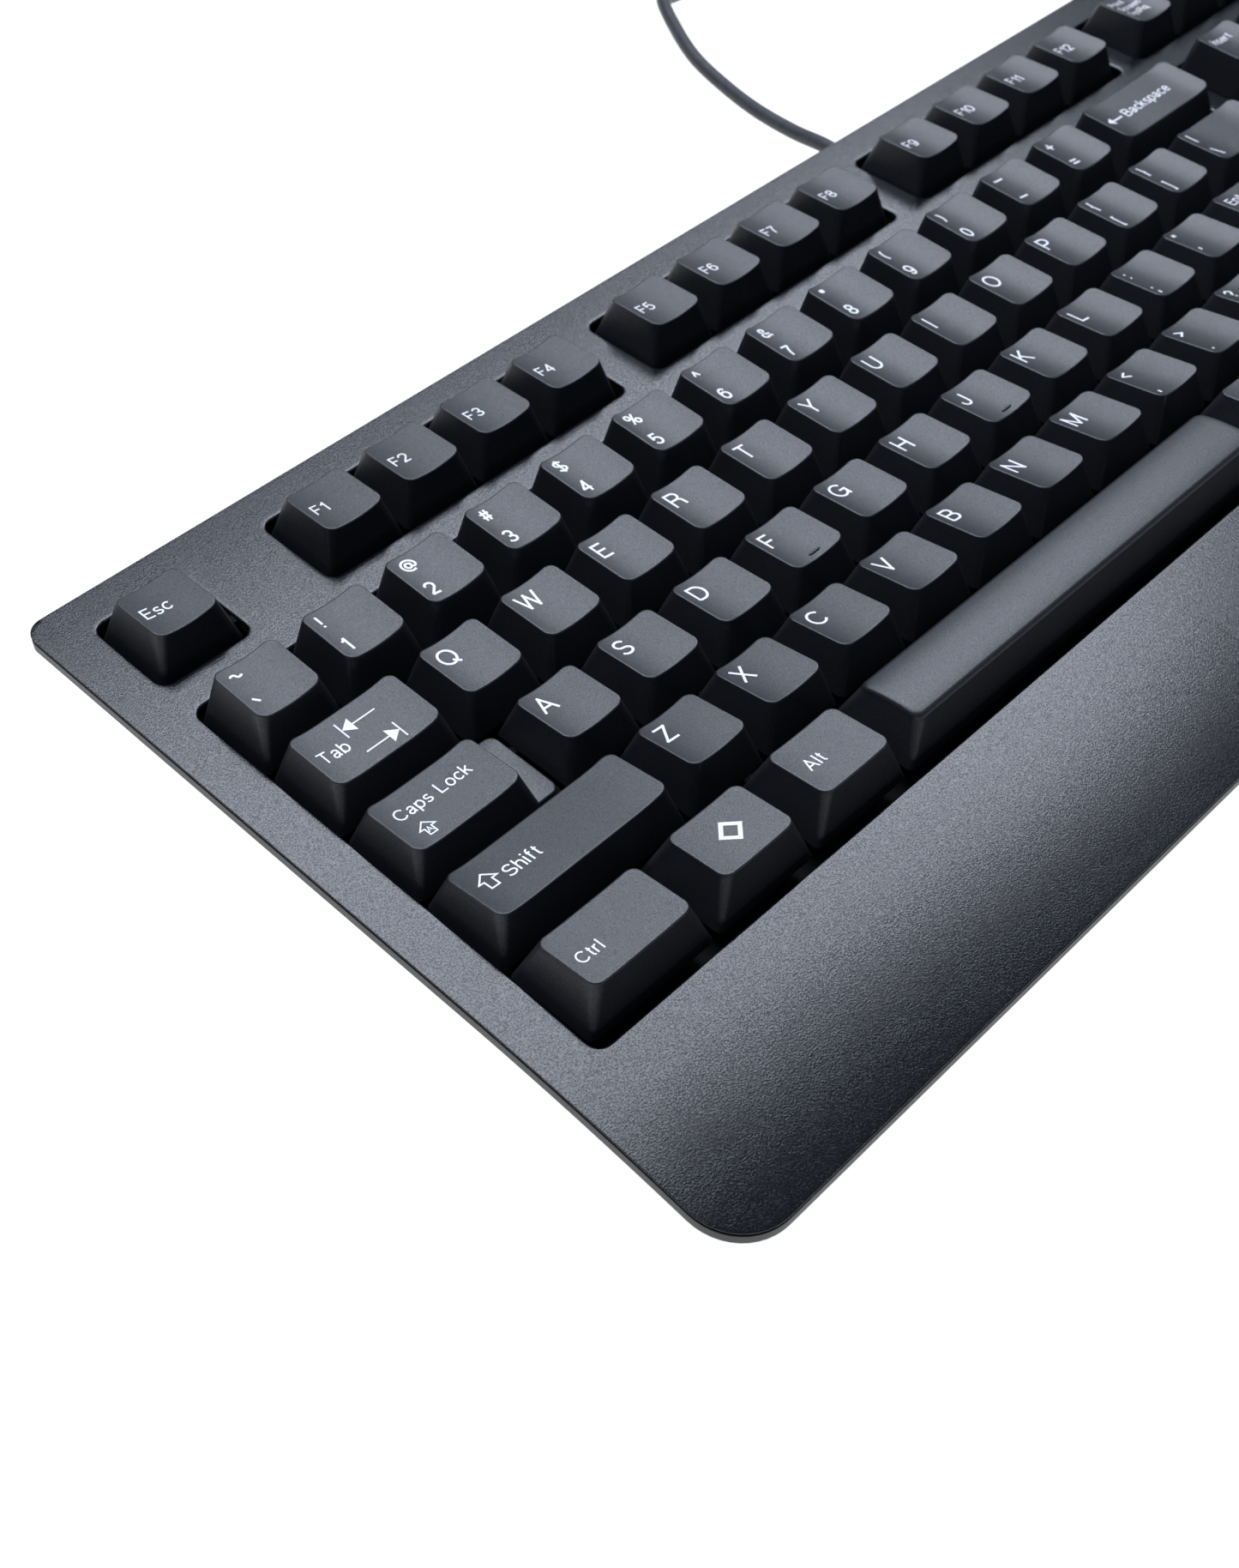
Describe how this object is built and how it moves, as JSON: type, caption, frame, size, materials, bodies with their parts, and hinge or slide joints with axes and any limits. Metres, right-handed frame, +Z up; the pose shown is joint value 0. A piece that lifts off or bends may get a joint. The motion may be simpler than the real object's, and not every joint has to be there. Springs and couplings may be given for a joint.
{
  "type": "computer keyboard",
  "caption": "Full-size mechanical keyboard with sculpted keycaps that press, a grained palm-rest deck, folding tilt feet and a fixed cable.",
  "frame": {"origin": "on the desk plane, under the middle of the whole footprint, cable included", "axes": "+X to the typist's right, +Y to the back of the desk, +Z up; the deck leans 3 degrees towards the typist"},
  "size_m": [0.454, 0.2838, 0.0351],
  "materials": {
    "deck": "fine grained, satin",
    "band": "smooth, satin",
    "shell": "matt",
    "keycap": "satin, lightly textured",
    "housing": "smooth",
    "plate": "powder coated, matt black",
    "board": "solder mask",
    "chip": "moulded",
    "rubber": "matt",
    "cable": "satin",
    "plug": "bright",
    "lens": "clear, frosted"
  },
  "bodies": {
    "keyboard": {"bottom_case": "shell", "cable_grommet": "rubber", "circuit_board": "board", "controller_chip": "chip", "indicator_lens": "lens", "rubber_foot_front_left": "rubber", "rubber_foot_front_right": "rubber", "rubber_foot_rear_left": "rubber", "rubber_foot_rear_right": "rubber", "switch_housings": "housing", "switch_plate": "plate", "top_case": "deck", "trim_band": "band", "usb_cable": "cable", "usb_plug_boot": "rubber", "usb_plug_shell": "plug"},
    "tilt_foot_left": {"tilt_foot_left": "shell"},
    "tilt_foot_right": {"tilt_foot_right": "shell"},
    "key_a": {"key_a": "keycap"},
    "key_alt_left": {"key_alt_left": "keycap"},
    "key_b": {"key_b": "keycap"},
    "key_backslash": {"key_backslash": "keycap"},
    "key_backspace": {"key_backspace": "keycap"},
    "key_c": {"key_c": "keycap"},
    "key_caps_lock": {"key_caps_lock": "keycap"},
    "key_ctrl_left": {"key_ctrl_left": "keycap"},
    "key_d": {"key_d": "keycap"},
    "key_e": {"key_e": "keycap"},
    "key_enter": {"key_enter": "keycap"},
    "key_esc": {"key_esc": "keycap"},
    "key_f": {"key_f": "keycap"},
    "key_g": {"key_g": "keycap"},
    "key_h": {"key_h": "keycap"},
    "key_j": {"key_j": "keycap"},
    "key_m": {"key_m": "keycap"},
    "key_n": {"key_n": "keycap"},
    "key_q": {"key_q": "keycap"},
    "key_r": {"key_r": "keycap"},
    "key_s": {"key_s": "keycap"},
    "key_shift_left": {"key_shift_left": "keycap"},
    "key_shift_right": {"key_shift_right": "keycap"},
    "key_space": {"key_space": "keycap"},
    "key_system_left": {"key_system_left": "keycap"},
    "key_t": {"key_t": "keycap"},
    "key_tab": {"key_tab": "keycap"},
    "key_v": {"key_v": "keycap"},
    "key_w": {"key_w": "keycap"},
    "key_x": {"key_x": "keycap"},
    "key_z": {"key_z": "keycap"},
    "keys_arrows": {"keys_arrows": "keycap"},
    "keys_f1_f4": {"keys_f1_f4": "keycap"},
    "keys_f5_f8": {"keys_f5_f8": "keycap"},
    "keys_f9_f12": {"keys_f9_f12": "keycap"},
    "keys_navigation": {"keys_navigation": "keycap"},
    "keys_number_row": {"keys_number_row": "keycap"},
    "keys_numpad": {"keys_numpad": "keycap"},
    "keys_print_pause": {"keys_print_pause": "keycap"},
    "keys_punctuation": {"keys_punctuation": "keycap"},
    "keys_right_letters": {"keys_right_letters": "keycap"},
    "keys_right_modifiers": {"keys_right_modifiers": "keycap"}
  },
  "joints": [
    {"name": "tilt_foot_left_hinge", "type": "hinge", "parent": "keyboard", "child": "tilt_foot_left", "pos_m": [-0.17895, 0.01141, 0.0039], "axis": [1, 0, 0], "range_deg": [0, 80], "stiffness_Nm_per_rad": 0.05, "springref_deg": -5.73},
    {"name": "tilt_foot_right_hinge", "type": "hinge", "parent": "keyboard", "child": "tilt_foot_right", "pos_m": [0.17895, 0.01141, 0.0039], "axis": [1, 0, 0], "range_deg": [0, 80], "stiffness_Nm_per_rad": 0.05, "springref_deg": -5.73},
    {"name": "key_a_press", "type": "slide", "parent": "keyboard", "child": "key_a", "axis": [0, 0.0523, -0.9986], "range_m": [0, 0.004], "stiffness_N_per_m": 80, "springref_m": -0.005},
    {"name": "key_alt_left_press", "type": "slide", "parent": "keyboard", "child": "key_alt_left", "axis": [0, 0.0523, -0.9986], "range_m": [0, 0.004], "stiffness_N_per_m": 80, "springref_m": -0.005},
    {"name": "key_b_press", "type": "slide", "parent": "keyboard", "child": "key_b", "axis": [0, 0.0523, -0.9986], "range_m": [0, 0.004], "stiffness_N_per_m": 80, "springref_m": -0.005},
    {"name": "key_backslash_press", "type": "slide", "parent": "keyboard", "child": "key_backslash", "axis": [0, 0.0523, -0.9986], "range_m": [0, 0.004], "stiffness_N_per_m": 80, "springref_m": -0.005},
    {"name": "key_backspace_press", "type": "slide", "parent": "keyboard", "child": "key_backspace", "axis": [0, 0.0523, -0.9986], "range_m": [0, 0.004], "stiffness_N_per_m": 80, "springref_m": -0.005},
    {"name": "key_c_press", "type": "slide", "parent": "keyboard", "child": "key_c", "axis": [0, 0.0523, -0.9986], "range_m": [0, 0.004], "stiffness_N_per_m": 80, "springref_m": -0.005},
    {"name": "key_caps_lock_press", "type": "slide", "parent": "keyboard", "child": "key_caps_lock", "axis": [0, 0.0523, -0.9986], "range_m": [0, 0.004], "stiffness_N_per_m": 80, "springref_m": -0.005},
    {"name": "key_ctrl_left_press", "type": "slide", "parent": "keyboard", "child": "key_ctrl_left", "axis": [0, 0.0523, -0.9986], "range_m": [0, 0.004], "stiffness_N_per_m": 80, "springref_m": -0.005},
    {"name": "key_d_press", "type": "slide", "parent": "keyboard", "child": "key_d", "axis": [0, 0.0523, -0.9986], "range_m": [0, 0.004], "stiffness_N_per_m": 80, "springref_m": -0.005},
    {"name": "key_e_press", "type": "slide", "parent": "keyboard", "child": "key_e", "axis": [0, 0.0523, -0.9986], "range_m": [0, 0.004], "stiffness_N_per_m": 80, "springref_m": -0.005},
    {"name": "key_enter_press", "type": "slide", "parent": "keyboard", "child": "key_enter", "axis": [0, 0.0523, -0.9986], "range_m": [0, 0.004], "stiffness_N_per_m": 80, "springref_m": -0.005},
    {"name": "key_esc_press", "type": "slide", "parent": "keyboard", "child": "key_esc", "axis": [0, 0.0523, -0.9986], "range_m": [0, 0.004], "stiffness_N_per_m": 80, "springref_m": -0.005},
    {"name": "key_f_press", "type": "slide", "parent": "keyboard", "child": "key_f", "axis": [0, 0.0523, -0.9986], "range_m": [0, 0.004], "stiffness_N_per_m": 80, "springref_m": -0.005},
    {"name": "key_g_press", "type": "slide", "parent": "keyboard", "child": "key_g", "axis": [0, 0.0523, -0.9986], "range_m": [0, 0.004], "stiffness_N_per_m": 80, "springref_m": -0.005},
    {"name": "key_h_press", "type": "slide", "parent": "keyboard", "child": "key_h", "axis": [0, 0.0523, -0.9986], "range_m": [0, 0.004], "stiffness_N_per_m": 80, "springref_m": -0.005},
    {"name": "key_j_press", "type": "slide", "parent": "keyboard", "child": "key_j", "axis": [0, 0.0523, -0.9986], "range_m": [0, 0.004], "stiffness_N_per_m": 80, "springref_m": -0.005},
    {"name": "key_m_press", "type": "slide", "parent": "keyboard", "child": "key_m", "axis": [0, 0.0523, -0.9986], "range_m": [0, 0.004], "stiffness_N_per_m": 80, "springref_m": -0.005},
    {"name": "key_n_press", "type": "slide", "parent": "keyboard", "child": "key_n", "axis": [0, 0.0523, -0.9986], "range_m": [0, 0.004], "stiffness_N_per_m": 80, "springref_m": -0.005},
    {"name": "key_q_press", "type": "slide", "parent": "keyboard", "child": "key_q", "axis": [0, 0.0523, -0.9986], "range_m": [0, 0.004], "stiffness_N_per_m": 80, "springref_m": -0.005},
    {"name": "key_r_press", "type": "slide", "parent": "keyboard", "child": "key_r", "axis": [0, 0.0523, -0.9986], "range_m": [0, 0.004], "stiffness_N_per_m": 80, "springref_m": -0.005},
    {"name": "key_s_press", "type": "slide", "parent": "keyboard", "child": "key_s", "axis": [0, 0.0523, -0.9986], "range_m": [0, 0.004], "stiffness_N_per_m": 80, "springref_m": -0.005},
    {"name": "key_shift_left_press", "type": "slide", "parent": "keyboard", "child": "key_shift_left", "axis": [0, 0.0523, -0.9986], "range_m": [0, 0.004], "stiffness_N_per_m": 80, "springref_m": -0.005},
    {"name": "key_shift_right_press", "type": "slide", "parent": "keyboard", "child": "key_shift_right", "axis": [0, 0.0523, -0.9986], "range_m": [0, 0.004], "stiffness_N_per_m": 80, "springref_m": -0.005},
    {"name": "key_space_press", "type": "slide", "parent": "keyboard", "child": "key_space", "axis": [0, 0.0523, -0.9986], "range_m": [0, 0.004], "stiffness_N_per_m": 80, "springref_m": -0.005},
    {"name": "key_system_left_press", "type": "slide", "parent": "keyboard", "child": "key_system_left", "axis": [0, 0.0523, -0.9986], "range_m": [0, 0.004], "stiffness_N_per_m": 80, "springref_m": -0.005},
    {"name": "key_t_press", "type": "slide", "parent": "keyboard", "child": "key_t", "axis": [0, 0.0523, -0.9986], "range_m": [0, 0.004], "stiffness_N_per_m": 80, "springref_m": -0.005},
    {"name": "key_tab_press", "type": "slide", "parent": "keyboard", "child": "key_tab", "axis": [0, 0.0523, -0.9986], "range_m": [0, 0.004], "stiffness_N_per_m": 80, "springref_m": -0.005},
    {"name": "key_v_press", "type": "slide", "parent": "keyboard", "child": "key_v", "axis": [0, 0.0523, -0.9986], "range_m": [0, 0.004], "stiffness_N_per_m": 80, "springref_m": -0.005},
    {"name": "key_w_press", "type": "slide", "parent": "keyboard", "child": "key_w", "axis": [0, 0.0523, -0.9986], "range_m": [0, 0.004], "stiffness_N_per_m": 80, "springref_m": -0.005},
    {"name": "key_x_press", "type": "slide", "parent": "keyboard", "child": "key_x", "axis": [0, 0.0523, -0.9986], "range_m": [0, 0.004], "stiffness_N_per_m": 80, "springref_m": -0.005},
    {"name": "key_z_press", "type": "slide", "parent": "keyboard", "child": "key_z", "axis": [0, 0.0523, -0.9986], "range_m": [0, 0.004], "stiffness_N_per_m": 80, "springref_m": -0.005},
    {"name": "keys_arrows_press", "type": "slide", "parent": "keyboard", "child": "keys_arrows", "axis": [0, 0.0523, -0.9986], "range_m": [0, 0.004], "stiffness_N_per_m": 320, "springref_m": -0.005},
    {"name": "keys_f1_f4_press", "type": "slide", "parent": "keyboard", "child": "keys_f1_f4", "axis": [0, 0.0523, -0.9986], "range_m": [0, 0.004], "stiffness_N_per_m": 320, "springref_m": -0.005},
    {"name": "keys_f5_f8_press", "type": "slide", "parent": "keyboard", "child": "keys_f5_f8", "axis": [0, 0.0523, -0.9986], "range_m": [0, 0.004], "stiffness_N_per_m": 320, "springref_m": -0.005},
    {"name": "keys_f9_f12_press", "type": "slide", "parent": "keyboard", "child": "keys_f9_f12", "axis": [0, 0.0523, -0.9986], "range_m": [0, 0.004], "stiffness_N_per_m": 320, "springref_m": -0.005},
    {"name": "keys_navigation_press", "type": "slide", "parent": "keyboard", "child": "keys_navigation", "axis": [0, 0.0523, -0.9986], "range_m": [0, 0.004], "stiffness_N_per_m": 480, "springref_m": -0.005},
    {"name": "keys_number_row_press", "type": "slide", "parent": "keyboard", "child": "keys_number_row", "axis": [0, 0.0523, -0.9986], "range_m": [0, 0.004], "stiffness_N_per_m": 1040, "springref_m": -0.005},
    {"name": "keys_numpad_press", "type": "slide", "parent": "keyboard", "child": "keys_numpad", "axis": [0, 0.0523, -0.9986], "range_m": [0, 0.004], "stiffness_N_per_m": 1360, "springref_m": -0.005},
    {"name": "keys_print_pause_press", "type": "slide", "parent": "keyboard", "child": "keys_print_pause", "axis": [0, 0.0523, -0.9986], "range_m": [0, 0.004], "stiffness_N_per_m": 240, "springref_m": -0.005},
    {"name": "keys_punctuation_press", "type": "slide", "parent": "keyboard", "child": "keys_punctuation", "axis": [0, 0.0523, -0.9986], "range_m": [0, 0.004], "stiffness_N_per_m": 560, "springref_m": -0.005},
    {"name": "keys_right_letters_press", "type": "slide", "parent": "keyboard", "child": "keys_right_letters", "axis": [0, 0.0523, -0.9986], "range_m": [0, 0.004], "stiffness_N_per_m": 560, "springref_m": -0.005},
    {"name": "keys_right_modifiers_press", "type": "slide", "parent": "keyboard", "child": "keys_right_modifiers", "axis": [0, 0.0523, -0.9986], "range_m": [0, 0.004], "stiffness_N_per_m": 320, "springref_m": -0.005}
  ]
}
